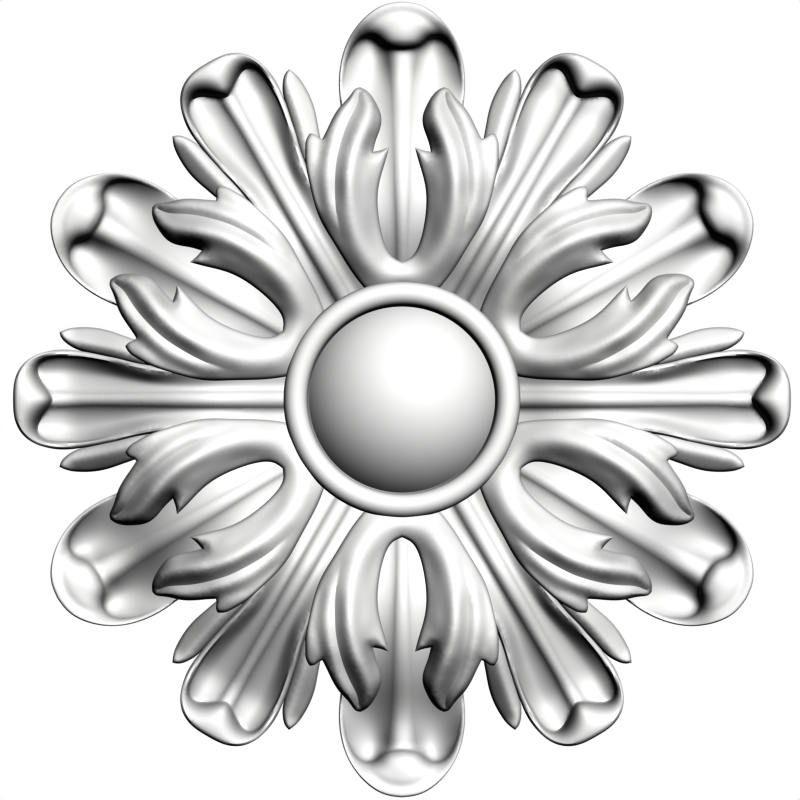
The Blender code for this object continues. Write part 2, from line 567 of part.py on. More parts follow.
def block_behind():
    """A block whose front face is the plane of the flat back."""
    half = (WIDE_LENGTH + CUT_DEPTH) * MM
    deep = CUT_DEPTH * MM
    bpy.ops.mesh.primitive_cube_add(size=1, location=(0, deep / 2, 0))
    block = bpy.context.object
    block.scale = (2 * half, deep, 2 * half)
    bpy.ops.object.transform_apply(location=False, rotation=False, scale=True)
    return block


def satin_paint():
    """White satin paint over carved wood."""
    material = bpy.data.materials.new("white_satin_paint")
    material.use_nodes = True
    shader = material.node_tree.nodes["Principled BSDF"]
    shader.inputs["Base Color"].default_value = (0.83, 0.83, 0.82, 1)
    shader.inputs["Roughness"].default_value = 0.45
    shader.inputs["Metallic"].default_value = 0.0
    return material


def tidy_mesh(obj):
    """Joins the points that cutting leaves all but together, and shades the carving smooth."""
    mesh = bmesh.new()
    mesh.from_mesh(obj.data)
    bmesh.ops.remove_doubles(mesh, verts=mesh.verts, dist=SMALLEST_EDGE * MM)
    bmesh.ops.triangulate(mesh, faces=mesh.faces)
    mesh.to_mesh(obj.data)
    mesh.free()
    obj.data.shade_smooth()
    obj.data.set_sharp_from_angle(angle=np.radians(SMOOTH_ANGLE))


def main():
    clear_scene()
    rosette = boss()
    fork_height = fork_surface()
    leaves = []
    for i in range(FOLD):
        wide_angle = WIDE_START + i * 360 / FOLD
        narrow_angle = NARROW_START + i * 360 / FOLD
        foot = FIRST_FOOT + (5 * i + 1) * FOOT_STEP
        leaves.append(wide_petal(wide_angle, foot))
        leaves.append(narrow_petal(narrow_angle, foot + FOOT_STEP))
        leaves.append(side_leaf(narrow_angle, foot + 2 * FOOT_STEP, 1))
        leaves.append(side_leaf(narrow_angle, foot + 3 * FOOT_STEP, -1))
        leaves.append(fork(wide_angle, foot + 4 * FOOT_STEP, fork_height))
    for leaf in leaves:
        apply_boolean(rosette, leaf, "UNION")
    apply_boolean(rosette, block_behind(), "DIFFERENCE")
    tidy_mesh(rosette)
    rosette.data.materials.clear()
    rosette.data.materials.append(satin_paint())


main()
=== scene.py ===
# %% [markdown]
# # A carved rosette
# This lesson carves the face of a round rosette in Blender, the kind that is glued to a door or
# a ceiling: a domed boss in a ring, six wide spoon petals, six narrower petals with a small
# leaf at each side, and six two-armed acanthus forks that lie over the wide petals. No joint
# shows on the real one, and it is taken to be carved from one block of wood and painted, so
# everything here ends up as one piece.
#
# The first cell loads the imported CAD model, which gives the frame: metres, the flat back in
# the plane y = 0 with the origin at its centre, the carving facing -Y and one wide petal up +Z.

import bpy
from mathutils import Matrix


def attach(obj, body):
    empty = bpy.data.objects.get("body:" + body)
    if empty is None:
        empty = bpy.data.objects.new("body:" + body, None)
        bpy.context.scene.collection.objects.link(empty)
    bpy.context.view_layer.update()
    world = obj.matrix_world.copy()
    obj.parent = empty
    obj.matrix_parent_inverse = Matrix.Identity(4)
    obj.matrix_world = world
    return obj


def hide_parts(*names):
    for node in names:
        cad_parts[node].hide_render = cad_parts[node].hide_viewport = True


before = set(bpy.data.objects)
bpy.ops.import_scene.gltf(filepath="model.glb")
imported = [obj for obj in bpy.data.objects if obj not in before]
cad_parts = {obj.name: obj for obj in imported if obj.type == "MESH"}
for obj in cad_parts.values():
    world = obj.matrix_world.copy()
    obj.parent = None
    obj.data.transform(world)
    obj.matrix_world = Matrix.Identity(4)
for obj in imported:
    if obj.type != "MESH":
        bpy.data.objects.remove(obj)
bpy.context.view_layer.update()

# %% [markdown]
# ## Working by hand, in code
# Blender's operators act on what is selected, just as they do in the window. The CAD model
# comes in selected, so `pick` clears the selection before it selects one object, and
# `apply_all` picks an object and applies its modifiers. Everything below is drawn in
# millimetres, because carvers think in them, and Blender works in metres, so MM turns one into
# the other.

# %% Selecting one object
import bpy
import numpy as np
from mathutils import Vector
from mathutils.geometry import delaunay_2d_cdt

MM = 0.001


def pick(obj):
    bpy.ops.object.select_all(action="DESELECT")
    obj.select_set(True)
    bpy.context.view_layer.objects.active = obj


def size_of(obj):
    return f"{obj.name}: {len(obj.data.vertices)} points, {len(obj.data.polygons)} faces"


def apply_all(obj):
    pick(obj)
    for modifier in list(obj.modifiers):
        bpy.ops.object.modifier_apply(modifier=modifier.name)


bpy.ops.object.select_all(action="DESELECT")
print("nodes to dress:", sorted(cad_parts))

# %% [markdown]
# ## The boss and its ring
# The middle of the rosette is round: a cap of a ball inside a half-round ring. Both could be
# turned on a lathe before the petals are cut. A sphere and a torus would meet in seams that
# have to be joined. Turning one profile about the axis gives the same shape in a single clean
# skin, so this cell draws half of the section as a chain of points and spins it.

# %% Turn the boss
DOME_RADIUS = 23.4
DOME_BALL = 27.7
DOME_FOOT_HEIGHT = 20.1
RING_MIDDLE = 26.75
RING_ROUND = 3.0
RING_HEIGHT = 21.1
BACK_DEPTH = 3.0
DOME_POINTS = 34
RING_POINTS = 26
TURN_STEPS = 144
SEAM_WELD = 0.01

drop = np.sqrt(DOME_BALL**2 - DOME_RADIUS**2)
swing = np.linspace(0, np.arcsin(DOME_RADIUS / DOME_BALL), DOME_POINTS)
over = np.linspace(np.pi, 0, RING_POINTS)
section = [(DOME_BALL * np.sin(t), DOME_FOOT_HEIGHT + DOME_BALL * np.cos(t) - drop) for t in swing]
section += [(RING_MIDDLE + RING_ROUND * np.cos(t), RING_HEIGHT + RING_ROUND * np.sin(t))
            for t in over]
section += [(RING_MIDDLE + RING_ROUND, -BACK_DEPTH), (0.0, -BACK_DEPTH)]

profile = bpy.data.meshes.new("rosette_face")
profile.from_pydata([(r * MM, -h * MM, 0) for r, h in section],
                    [(i, i + 1) for i in range(len(section) - 1)], [])
rosette = bpy.data.objects.new("rosette_face", profile)
bpy.context.scene.collection.objects.link(rosette)
pick(rosette)
bpy.ops.object.mode_set(mode="EDIT")
bpy.ops.mesh.select_all(action="SELECT")
bpy.ops.mesh.spin(steps=TURN_STEPS, angle=2 * np.pi, center=(0, 0, 0), axis=(0, 1, 0))
bpy.ops.mesh.select_all(action="SELECT")
bpy.ops.mesh.remove_doubles(threshold=SEAM_WELD * MM)
bpy.ops.mesh.normals_make_consistent(inside=False)
bpy.ops.object.mode_set(mode="OBJECT")
print(size_of(rosette))

# %% [markdown]
# ## A frame for each leaf
# Every leaf is drawn in a little frame of its own, looking at the rosette with that leaf
# pointing up: u runs across it, v outwards from the centre of the rosette, and h towards you
# from the flat back. A shape drawn once this way can be copied all round.
#
# Carvers draw with smooth curves through a few places that matter. `spline` does that: give it
# pairs of (place, size) and it returns the smooth curve through them.

# %% Smooth curves
def spline(knots):
    """A natural cubic curve through (place, size) pairs, as a function of the place."""
    x, y = np.array(knots, float).T
    n = len(x)
    gap = np.diff(x)
    system = np.eye(n)
    bend = np.zeros(n)
    for i in range(1, n - 1):
        system[i, i - 1:i + 2] = gap[i - 1], 2 * (gap[i - 1] + gap[i]), gap[i]
        bend[i] = 6 * ((y[i + 1] - y[i]) / gap[i] - (y[i] - y[i - 1]) / gap[i - 1])
    curve = np.linalg.solve(system, bend)

    def size(place):
        t = np.clip(np.asarray(place, float), x[0], x[-1])
        i = np.clip(np.searchsorted(x, t) - 1, 0, n - 2)
        a = (x[i + 1] - t) / gap[i]
        b = 1 - a
        straight = a * y[i] + b * y[i + 1]
        return straight + ((a**3 - a) * curve[i] + (b**3 - b) * curve[i + 1]) * gap[i]**2 / 6

    return size


def drawn_line(knots, step):
    """A smooth line through the knots, as points about a step apart."""
    knots = np.array(knots, float)
    along = np.concatenate([[0], np.cumsum(np.hypot(*np.diff(knots[:, :2], axis=0).T))])
    count = max(2, int(round(along[-1] / step)) + 1)
    places = np.linspace(0, along[-1], count)
    return np.column_stack([spline(list(zip(along, column)))(places) for column in knots.T])


def chain(runs, step):
    """Smooth runs that meet at sharp corners, as one line."""
    lines = [drawn_line(run, step) for run in runs]
    return np.vstack([lines[0]] + [line[1:] for line in lines[1:]])


def flipped(line):
    """The line's mirror image on the other side of the leaf's axis."""
    turned = line.copy()
    turned[:, 0] *= -1
    return turned


def both_sides(line):
    """A line that ends on the leaf's axis, run on down the other side."""
    return np.vstack([line, flipped(line)[::-1][1:]])


# %% [markdown]
# Four more small tools shape the carving. `nearest` measures from any point to a drawn line,
# `ease` blends softly from 0 to 1, `between` does the same over a stretch of the leaf, and
# `rolled_off` says how far the wood has dropped near an edge.

# %% Measuring from a line
def nearest(u, v, line):
    """How far each point is from a line, and on which side of it."""
    best = np.full(np.shape(u), np.inf)
    side = np.zeros(np.shape(u))
    for (x, y), (dx, dy) in zip(line[:, :2], np.diff(line[:, :2], axis=0)):
        t = np.clip(((u - x) * dx + (v - y) * dy) / (dx * dx + dy * dy), 0, 1)
        away = np.hypot(u - x - t * dx, v - y - t * dy)
        closer = away < best
        best = np.where(closer, away, best)
        side = np.where(closer, np.sign(dx * (v - y) - dy * (u - x)), side)
    return best, side


def ease(t):
    t = np.clip(t, 0, 1)
    return t * t * (3 - 2 * t)


def between(v, span):
    return ease((v - span[0]) / (span[1] - span[0]))


def rolled_off(distance, width, slope):
    """How far an edge has dropped: it ends at this slope, and starts this far in."""
    t = 1 - np.clip(distance / width, 0, 1)
    return slope * width / 3 * t**3


# %% [markdown]
# ## What the two kinds of petal share
# Each petal is a spoon. A rib runs up its middle with a hollow on either side, and at the end
# the wood rolls over into a curled tip. Seen from the front the curl begins at a lip shaped
# like a letter M, and the wood climbs steeply from the bowls to the top of the roll. The next
# helpers say that in numbers: the low surface of rib and bowls, the high surface of the roll,
# and the step from one to the other.

# %% Rib, bowls and curl
EDGE_STEP = 0.6
RIB_POWER = 1.4
FOOT_LENGTH = 0.45
LIP_SHARPNESS = 24.0
LIP_DETAIL = 0.5


def rib_and_flank(x, rib_edge, rib_slope, flank_slope, bowl_place):
    """Drop from the rib's crest: a round top, a sharp foot and a flank that dies out in the bowl."""
    on_rib = rib_slope * rib_edge / (RIB_POWER + 1) * (np.minimum(x, rib_edge) / rib_edge)**(
        RIB_POWER + 1)
    out = np.clip(x - rib_edge, 0, bowl_place - rib_edge)
    foot = (rib_slope - flank_slope) * FOOT_LENGTH * (1 - np.exp(-out / FOOT_LENGTH))
    flank = flank_slope * (out - out**2 / (2 * (bowl_place - rib_edge)))
    return on_rib + foot + flank


def side_of_lip(u, v, lip):
    """Distance beyond the lip, negative on the bowls' side."""
    distance, side = nearest(u, v, drawn_line(both_sides(np.array(lip)), LIP_DETAIL))
    return np.where(side > 0, -distance, distance)


def turned_over(t):
    """From 0 to 1: nearly upright at first, then rolling over to level."""
    t = np.clip(t, 0, 1)
    level = LIP_SHARPNESS / (1 + LIP_SHARPNESS)
    return (np.log1p(LIP_SHARPNESS * t) - level * t) / (np.log1p(LIP_SHARPNESS) - level)


def step_up(beyond, before_width, after_width, share):
    """The share of the roll's height at each point, with the given share at the lip itself."""
    below = share * (1 - turned_over(-beyond / before_width))
    above = share + (1 - share) * turned_over(beyond / after_width)
    return np.where(beyond < 0, below, above)


def rolled_tip(x, v, rim_height, roll_height, span, start):
    rim = spline(rim_height)(v)
    crown = spline(roll_height)(v) - rim
    return rim + crown * (1 - ease(x / span)) * between(v, start)


def petal_outline(side, root, step):
    return both_sides(np.vstack([root, drawn_line(side, step)]))


# %% [markdown]
# ## The wide petal
# These are the sizes of the wide petal, in millimetres: its outline, how high the crest of its
# rib runs from root to tip, how steep the rib and the flanks are, where the bowls lie, and how
# the tip curls. Each pair is a place along the petal and the size there.

# %% Wide petal
WIDE_LENGTH = 100.0
WIDE_SIDE = [(11.6, 37.7), (14.2, 65.8), (15.6, 75.4), (15.85, 80.0), (15.2, 85.5), (13.8, 89.8),
             (11.4, 93.8), (8.3, 97.0), (4.3, 99.3), (0.0, WIDE_LENGTH)]
WIDE_ROOT = (7.5, 25.0)
WIDE_CREST = [(25.0, 11.8), (35.7, 19.15), (42.75, 23.0), (51.0, 24.8), (57.85, 23.95),
              (64.1, 21.6), (71.65, 16.8), (77.0, 12.75), (81.5, 10.5), (86.5, 9.85)]
WIDE_RIB_EDGE = [(25.0, 1.5), (44.0, 1.5), (52.0, 1.8), (60.0, 2.0), (68.0, 2.2), (76.0, 2.5),
                 (82.0, 3.0), (86.0, 3.5), (90.0, 3.7)]
WIDE_RIB_SLOPE = [(25.0, 1.0), (52.0, 1.05), (76.0, 1.15), (82.0, 1.45), (86.0, 1.75), (90.0, 1.8)]
WIDE_FLANK_SLOPE = [(25.0, 0.3), (44.0, 0.3), (52.0, 0.45), (60.0, 0.6), (68.0, 0.7), (76.0, 0.9),
                    (82.0, 1.35), (86.0, 1.7), (90.0, 1.75)]
WIDE_BOWL_PLACE = [(25.0, 6.5), (52.0, 6.5), (60.0, 7.5), (76.0, 8.4), (82.0, 8.0), (90.0, 7.4)]
WIDE_SIDE_RISE = [(60.0, 0.0), (72.0, 0.02), (76.0, 0.06), (80.0, 0.115), (84.0, 0.15), (90.0, 0.16)]
SIDE_RISE_POWER = 1.85
WIDE_LIP = [(15.2, 72.0), (14.9, 78.0), (14.3, 83.0), (13.3, 86.8), (12.0, 89.2), (10.0, 90.8),
            (8.05, 91.1), (6.3, 90.4), (5.0, 89.4), (3.5, 88.6), (1.5, 88.3), (0.0, 88.2)]
WIDE_LIP_BEFORE = [(0.0, 2.2), (4.0, 4.0), (8.0, 4.5), (12.0, 3.5), (16.0, 2.0)]
WIDE_LIP_AFTER = 4.6
WIDE_LIP_SHARE = (0.12, 0.4)
WIDE_LIP_SHARE_START = (84.0, 88.0)
WIDE_RIM_HEIGHT = [(62.85, 16.65), (75.4, 11.3), (80.45, 10.8), (84.2, 10.6), (88.0, 11.2),
                   (90.5, 12.3), (93.0, 13.7), (95.55, 15.0), (98.0, 15.7), (100.0, 15.9)]
WIDE_ROLL_HEIGHT = [(85.5, 15.0), (89.25, 15.8), (93.0, 16.3), (95.5, 16.2), (100.0, 15.9)]
WIDE_ROLL_SPAN = 12.0
WIDE_ROLL_START = (84.2, 90.5)
GROOVE_INSET = 2.65
GROOVE_WIDTH = 1.15
GROOVE_DEPTH = 0.4
GROOVE_START = (86.7, 93.0)
WIDE_EDGE = (0.6, 3.0)

wide_outline = petal_outline(WIDE_SIDE, WIDE_ROOT, EDGE_STEP)


def wide_petal_height(u, v):
    x = np.abs(u)
    bowl = spline(WIDE_BOWL_PLACE)(v)
    low = spline(WIDE_CREST)(v) - rib_and_flank(x, spline(WIDE_RIB_EDGE)(v),
                                                spline(WIDE_RIB_SLOPE)(v),
                                                spline(WIDE_FLANK_SLOPE)(v), bowl)
    low = low + spline(WIDE_SIDE_RISE)(v) * np.maximum(x - bowl, 0)**SIDE_RISE_POWER
    high = rolled_tip(x, v, WIDE_RIM_HEIGHT, WIDE_ROLL_HEIGHT, WIDE_ROLL_SPAN, WIDE_ROLL_START)
    edge = nearest(u, v, wide_outline)[0]
    groove = np.exp(-((edge - GROOVE_INSET) / GROOVE_WIDTH)**2)
    high = high - GROOVE_DEPTH * groove * between(v, GROOVE_START)
    least, most = WIDE_LIP_SHARE
    share = least + (most - least) * between(v, WIDE_LIP_SHARE_START)
    part = step_up(side_of_lip(u, v, WIDE_LIP), spline(WIDE_LIP_BEFORE)(x), WIDE_LIP_AFTER, share)
    return low * (1 - part) + high * part - rolled_off(edge, *WIDE_EDGE)


print("wide petal:", len(wide_outline), "outline points, top of its rib",
      max(height for _, height in WIDE_CREST), "mm over the back")

# %% [markdown]
# ## The narrow petal
# The same parts again, slimmer, with a squarer tip and a raised rim along each side.

# %% Narrow petal
NARROW_LENGTH = 97.75
NARROW_SIDE = [(7.55, 37.7), (7.9, 57.85), (9.55, 67.9), (11.3, 75.4), (12.3, 81.7), (12.55, 85.5),
               (12.05, 89.25), (10.8, 92.75), (8.55, 95.55), (5.05, 97.3), (0.0, NARROW_LENGTH)]
NARROW_ROOT = (7.5, 25.0)
NARROW_CREST = [(25.0, 11.6), (32.0, 15.7), (36.0, 18.3), (40.0, 20.4), (44.0, 21.9), (48.0, 22.6),
                (52.0, 22.1), (56.0, 20.8), (60.0, 18.9), (64.0, 16.6), (72.0, 11.7), (80.0, 6.9),
                (84.0, 5.1), (88.0, 4.8)]
NARROW_RIB_EDGE = [(25.0, 2.0), (48.0, 1.95), (56.0, 1.9), (64.0, 1.75), (72.0, 1.6), (80.0, 1.6),
                   (86.0, 1.95), (90.0, 2.0)]
NARROW_RIB_SLOPE = 1.6
NARROW_FLANK_SLOPE = [(25.0, 0.6), (48.0, 0.9), (56.0, 0.9), (64.0, 0.8), (72.0, 0.9), (80.0, 0.85),
                      (86.0, 0.75), (90.0, 0.7)]
NARROW_BOWL_PLACE = [(25.0, 3.4), (32.0, 3.5), (48.0, 3.0), (56.0, 3.2), (64.0, 3.9), (68.0, 4.5),
                     (72.0, 5.2), (76.0, 5.7), (80.0, 6.2), (88.0, 6.4)]
NARROW_RIM_PLACE = [(25.0, 6.5), (48.0, 7.5), (56.0, 8.0), (64.0, 7.6), (68.0, 9.0), (72.0, 11.2),
                    (76.0, 14.5), (80.0, 16.5), (88.0, 17.0)]
NARROW_RIM_RISE = [(25.0, 1.0), (40.0, 1.2), (48.0, 2.2), (56.0, 3.2), (64.0, 3.8), (68.0, 4.3),
                   (72.0, 5.9), (76.0, 8.4), (80.0, 9.0), (88.0, 9.0)]
NARROW_LIP = [(8.5, 70.0), (9.4, 74.0), (10.15, 78.0), (10.55, 81.0), (10.65, 84.0), (10.6, 87.0),
              (10.1, 89.6), (9.2, 91.0), (8.0, 91.75), (6.55, 91.8), (4.8, 91.0), (3.0, 89.7),
              (1.5, 88.7), (0.0, 88.2)]
NARROW_LIP_BEFORE = 1.2
NARROW_LIP_AFTER = [(70.0, 0.9), (84.0, 1.0), (88.0, 2.4), (91.0, 4.4), (98.0, 4.6)]
NARROW_LIP_SHARE = 0.14
NARROW_RIM_HEIGHT = [(66.0, 15.6), (70.4, 13.9), (75.4, 11.2), (80.0, 8.9), (84.0, 7.7), (87.0, 8.2),
                     (89.25, 9.6), (91.75, 11.2), (93.55, 12.3), (95.55, 13.2), (97.8, 13.6)]
NARROW_ROLL_HEIGHT = [(85.5, 12.0), (89.25, 13.6), (91.75, 14.8), (94.3, 15.3), (97.8, 14.7)]
NARROW_ROLL_SPAN = 10.6
NARROW_ROLL_START = (84.2, 90.5)
NARROW_LIP_START = (69.0, 75.0)
NARROW_EDGE = (1.2, 3.5)

narrow_outline = petal_outline(NARROW_SIDE, NARROW_ROOT, EDGE_STEP)


def narrow_petal_height(u, v):
    x = np.abs(u)
    bowl = spline(NARROW_BOWL_PLACE)(v)
    low = spline(NARROW_CREST)(v) - rib_and_flank(x, spline(NARROW_RIB_EDGE)(v), NARROW_RIB_SLOPE,
                                                  spline(NARROW_FLANK_SLOPE)(v), bowl)
    rim = spline(NARROW_RIM_PLACE)(v)
    low = low + spline(NARROW_RIM_RISE)(v) * ease((x - bowl) / (rim - bowl))
    high = rolled_tip(x, v, NARROW_RIM_HEIGHT, NARROW_ROLL_HEIGHT, NARROW_ROLL_SPAN,
                      NARROW_ROLL_START)
    part = step_up(side_of_lip(u, v, NARROW_LIP), NARROW_LIP_BEFORE, spline(NARROW_LIP_AFTER)(v),
                   NARROW_LIP_SHARE) * between(v, NARROW_LIP_START)
    edge = nearest(u, v, narrow_outline)[0]
    return low * (1 - part) + high * part - rolled_off(edge, *NARROW_EDGE)


print("narrow petal:", len(narrow_outline), "outline points")

# %% [markdown]
# ## The small side leaf
# A slim leaf looks out at each side of a narrow petal. A low ridge runs up it near the petal,
# the wood leans away from it on both sides, and the edge rolls over.

# %% Side leaf
LEAF_OUTER_SIDE = [(9.8, 57.85), (12.6, 62.6), (14.7, 66.4), (16.05, 70.0), (17.4, 74.0),
                   (18.1, 78.0), (18.15, 81.0), (17.7, 84.2), (16.9, 86.1)]
LEAF_INNER_SIDE = [(16.9, 86.1), (15.7, 85.7), (14.0, 84.1), (12.7, 81.9), (11.6, 78.3), (10.6, 74.0),
                   (9.4, 69.0), (7.5, 59.1)]
LEAF_SPINE = [(9.2, 60.35), (10.8, 66.0), (12.0, 70.0), (13.0, 74.0), (13.8, 78.0), (14.4, 81.0),
              (15.2, 84.0), (16.5, 85.6)]
LEAF_TOP = [(57.85, 19.3), (65.35, 17.4), (70.0, 15.3), (74.0, 12.9), (78.0, 10.5), (81.0, 8.9),
            (84.0, 7.5), (86.3, 6.5)]
LEAF_LEAN = 1.25
LEAF_ROUND = 1.15
LEAF_EDGE = (0.8, 3.0)

leaf_outline = chain([LEAF_OUTER_SIDE, LEAF_INNER_SIDE], EDGE_STEP)
leaf_spine = drawn_line(LEAF_SPINE, EDGE_STEP)


def leaf_height(u, v):
    edge = nearest(u, v, np.vstack([leaf_outline, leaf_outline[:1]]))[0]
    spine = nearest(u, v, leaf_spine)[0]
    fall = LEAF_LEAN * (np.sqrt(spine**2 + LEAF_ROUND**2) - LEAF_ROUND)
    return spline(LEAF_TOP)(v) - fall - rolled_off(edge, *LEAF_EDGE)


print("side leaf:", len(leaf_outline), "outline points")

# %% [markdown]
# ## The acanthus fork
# The fork is the showpiece: two arms grow from a bridge beside the boss, frame a pointed
# window over the wide petal's rib, and end in a twisted blade, with a small hook inside and a
# lobe outside. Its rolls and valleys run along the arms, so it is drawn as a carver would draw
# it on the block: lines along the arm, each with its height. The bottom of the main valley is a
# crisp crease, as a narrow gouge leaves it, half a millimetre deeper than the soft surface.

# %% Lines of the fork
FORK_TIP = (10.5, 78.5, 14.6)
FORK_LOBE_TIP = (23.2, 66.9, 23.2)
FORK_OUTER_NOTCH = (20.0, 65.5, 24.9)
FORK_HOOK_TIP = (3.3, 63.4, 23.3)
FORK_INNER_NOTCH = (7.3, 62.3, 24.0)
FORK_ROOT = [(0.0, 27.65, 20.35), (5.55, 27.15, 20.35), (9.55, 28.15, 20.2)]
FORK_OUTER_SIDE = [(9.55, 28.15, 20.2), (11.2, 30.2, 21.0), (13.2, 33.0, 22.4), (15.2, 36.2, 24.0),
                   (17.5, 40.0, 24.9), (20.0, 44.2, 25.4), (21.6, 48.0, 26.4), (22.7, 52.0, 27.0),
                   (23.6, 56.0, 27.2), (24.25, 60.0, 26.5), (24.3, 63.0, 25.3), (24.0, 65.5, 24.0),
                   FORK_LOBE_TIP]
FORK_LOBE_TOP = [FORK_LOBE_TIP, (22.0, 66.7, 23.7), (20.9, 65.9, 24.4), FORK_OUTER_NOTCH]
FORK_SHOULDER = [FORK_OUTER_NOTCH, (18.8, 67.9, 24.0), (17.3, 71.0, 22.1), (15.4, 73.8, 20.2),
                 (13.9, 75.4, 18.4), (12.5, 77.2, 16.5), (11.6, 78.2, 15.2), FORK_TIP]
FORK_BLADE_INNER = [FORK_TIP, (9.4, 78.0, 14.9), (8.0, 76.8, 16.0), (6.3, 74.1, 17.4),
                    (5.2, 70.8, 18.9), (5.5, 68.2, 19.9), (6.5, 65.4, 21.3), FORK_INNER_NOTCH]
FORK_HOOK_TOP = [FORK_INNER_NOTCH, (5.2, 62.7, 23.7), FORK_HOOK_TIP]
FORK_WINDOW = [FORK_HOOK_TIP, (3.9, 61.0, 24.1), (5.0, 57.3, 25.1), (5.9, 53.5, 25.6),
               (6.15, 49.1, 25.3), (5.7, 44.7, 24.1), (4.4, 39.3, 22.3), (2.3, 35.8, 21.4),
               (0.0, 34.6, 21.5)]
FORK_CREST = [(0.0, 31.45, 23.0), (4.55, 31.4, 23.4), (8.0, 33.1, 24.8), (10.0, 36.0, 26.6),
              (11.5, 40.0, 28.7), (12.5, 44.25, 30.4), (13.2, 48.0, 31.6), (13.55, 52.0, 32.5),
              (13.55, 56.0, 32.8), (13.05, 60.0, 32.0), (12.5, 63.0, 30.7), (11.7, 66.0, 28.9),
              (10.6, 69.0, 26.3), (9.4, 72.0, 23.4), (8.9, 75.0, 20.0), (9.6, 77.2, 16.9)]
FORK_VALLEY = [(15.1, 40.75, 27.15), (16.0, 44.5, 28.8), (16.6, 48.0, 29.7), (16.85, 52.0, 29.8),
               (16.8, 56.0, 30.1), (16.45, 60.0, 29.5), (15.8, 63.0, 28.4), (14.95, 66.0, 26.5),
               (13.85, 69.0, 24.3), (12.4, 72.0, 21.9), (11.2, 74.6, 19.2), (10.8, 77.2, 16.2)]
FORK_SMALL_RIDGE = [(16.9, 44.25, 28.25), (17.8, 48.0, 29.4), (18.4, 52.0, 29.9), (18.55, 56.0, 30.3),
                    (18.3, 60.0, 29.8), (17.8, 63.0, 28.8), (17.2, 66.0, 27.0), (16.4, 69.0, 25.0),
                    (15.1, 72.2, 22.7), (13.2, 75.0, 19.9), (11.9, 77.0, 17.2)]
FORK_OUTER_VALLEY = [(20.9, 63.0, 26.4), (21.3, 60.0, 27.6), (21.6, 56.0, 28.0), (21.4, 52.0, 27.5),
                     (20.4, 48.0, 27.2)]
FORK_LOBE_RIDGE = [(22.7, 65.0, 24.9), (22.6, 62.5, 26.5), (22.7, 59.5, 27.4)]
FORK_SHOULDER_LINE = [(5.0, 36.0, 23.5), (7.0, 40.0, 24.95), (8.0, 44.0, 26.3), (8.4, 48.0, 27.5),
                      (8.6, 52.0, 28.3), (8.5, 56.0, 28.6), (8.0, 60.0, 27.5)]
FORK_FLANK = [(7.5, 36.0, 25.7), (9.0, 40.0, 27.25), (10.0, 44.0, 28.65), (10.5, 48.0, 29.7),
              (10.7, 52.0, 30.4), (10.7, 56.0, 30.7), (10.2, 60.0, 29.8), (9.7, 63.0, 28.4),
              (9.0, 66.0, 26.95), (8.0, 69.0, 24.75), (7.3, 72.0, 22.2), (7.5, 74.6, 19.6)]
FORK_HOOK_RIDGE = [(5.9, 60.0, 26.0), (4.7, 61.9, 24.7)]
FORK_LINES = [FORK_CREST, FORK_VALLEY, FORK_SMALL_RIDGE, FORK_OUTER_VALLEY, FORK_LOBE_RIDGE,
              FORK_SHOULDER_LINE, FORK_FLANK, FORK_HOOK_RIDGE]
FORK_EDGE = (0.9, 3.0)
CREASE_DEPTH = 0.5
CREASE_WIDTH = 0.9
CREASE_START = (40.0, 48.0)

right_arm = chain([FORK_ROOT, FORK_OUTER_SIDE, FORK_LOBE_TOP, FORK_SHOULDER, FORK_BLADE_INNER,
                   FORK_HOOK_TOP, FORK_WINDOW], EDGE_STEP)
fork_outline = np.vstack([right_arm, flipped(right_arm)[::-1][1:-1]])
print("fork:", len(fork_outline), "outline points,", len(FORK_LINES), "lines along each arm")

# %% [markdown]
# Between the lines the wood is smooth. A thin elastic plate, bent until it all but touches
# every line, is as smooth as a surface can be, and it can be worked out in one go: each held
# point pulls on the plate, and one set of equations gives the pulls.

# %% Stretch a plate over the lines
PLATE_SCALE = 12.5
PLATE_GIVE = 1e-3
PLATE_STEP = 0.7
PLATE_APART = 0.35
AXIS_GAP = 0.2
TINY = 1e-12


def bent_plate(points):
    at = points[:, :2] / PLATE_SCALE
    n = len(at)

    def pull(square):
        return square * np.log(square + TINY)

    square = ((at[:, None] - at[None])**2).sum(2)
    flat = np.hstack([np.ones((n, 1)), at])
    system = np.block([[pull(square) + np.eye(n) * PLATE_GIVE, flat],
                       [flat.T, np.zeros((3, 3))]])
    weight = np.linalg.solve(system, np.concatenate([points[:, 2], np.zeros(3)]))

    def height(u, v):
        here = np.column_stack([np.ravel(u), np.ravel(v)]) / PLATE_SCALE
        square = ((here[:, None] - at[None])**2).sum(2)
        value = pull(square) @ weight[:n] + weight[n] + here @ weight[n + 1:]
        return value.reshape(np.shape(u))

    return height


held = np.vstack([right_arm] + [drawn_line(line, PLATE_STEP) for line in FORK_LINES])
apart = np.unique(np.round(held[:, :2] / PLATE_APART).astype(int), axis=0, return_index=True)[1]
held = held[np.sort(apart)]
plate = bent_plate(np.vstack([held, flipped(held[held[:, 0] > AXIS_GAP])]))
fork_edge_line = np.vstack([fork_outline, fork_outline[:1]])
fork_crease = drawn_line(FORK_VALLEY, EDGE_STEP)


def fork_height(u, v):
    crease = nearest(np.abs(u), v, fork_crease)[0]
    cut = CREASE_DEPTH * np.exp(-crease / CREASE_WIDTH) * between(v, CREASE_START)
    return plate(u, v) - cut - rolled_off(nearest(u, v, fork_edge_line)[0], *FORK_EDGE)


print("the plate is held at", len(held), "points on each side")

# %% [markdown]
# ## From a drawing to a carved face
# Operators such as inset and subdivide can't follow relief that is drawn like this, so the
# faces of a leaf are laid another way: points along the outline and the drawn lines, rings of
# points just inside the outline where the edge turns over, and an even lattice of points in
# between. Joining each point to its neighbours gives an even net, and each point is then
# lifted to the height of the carving there.

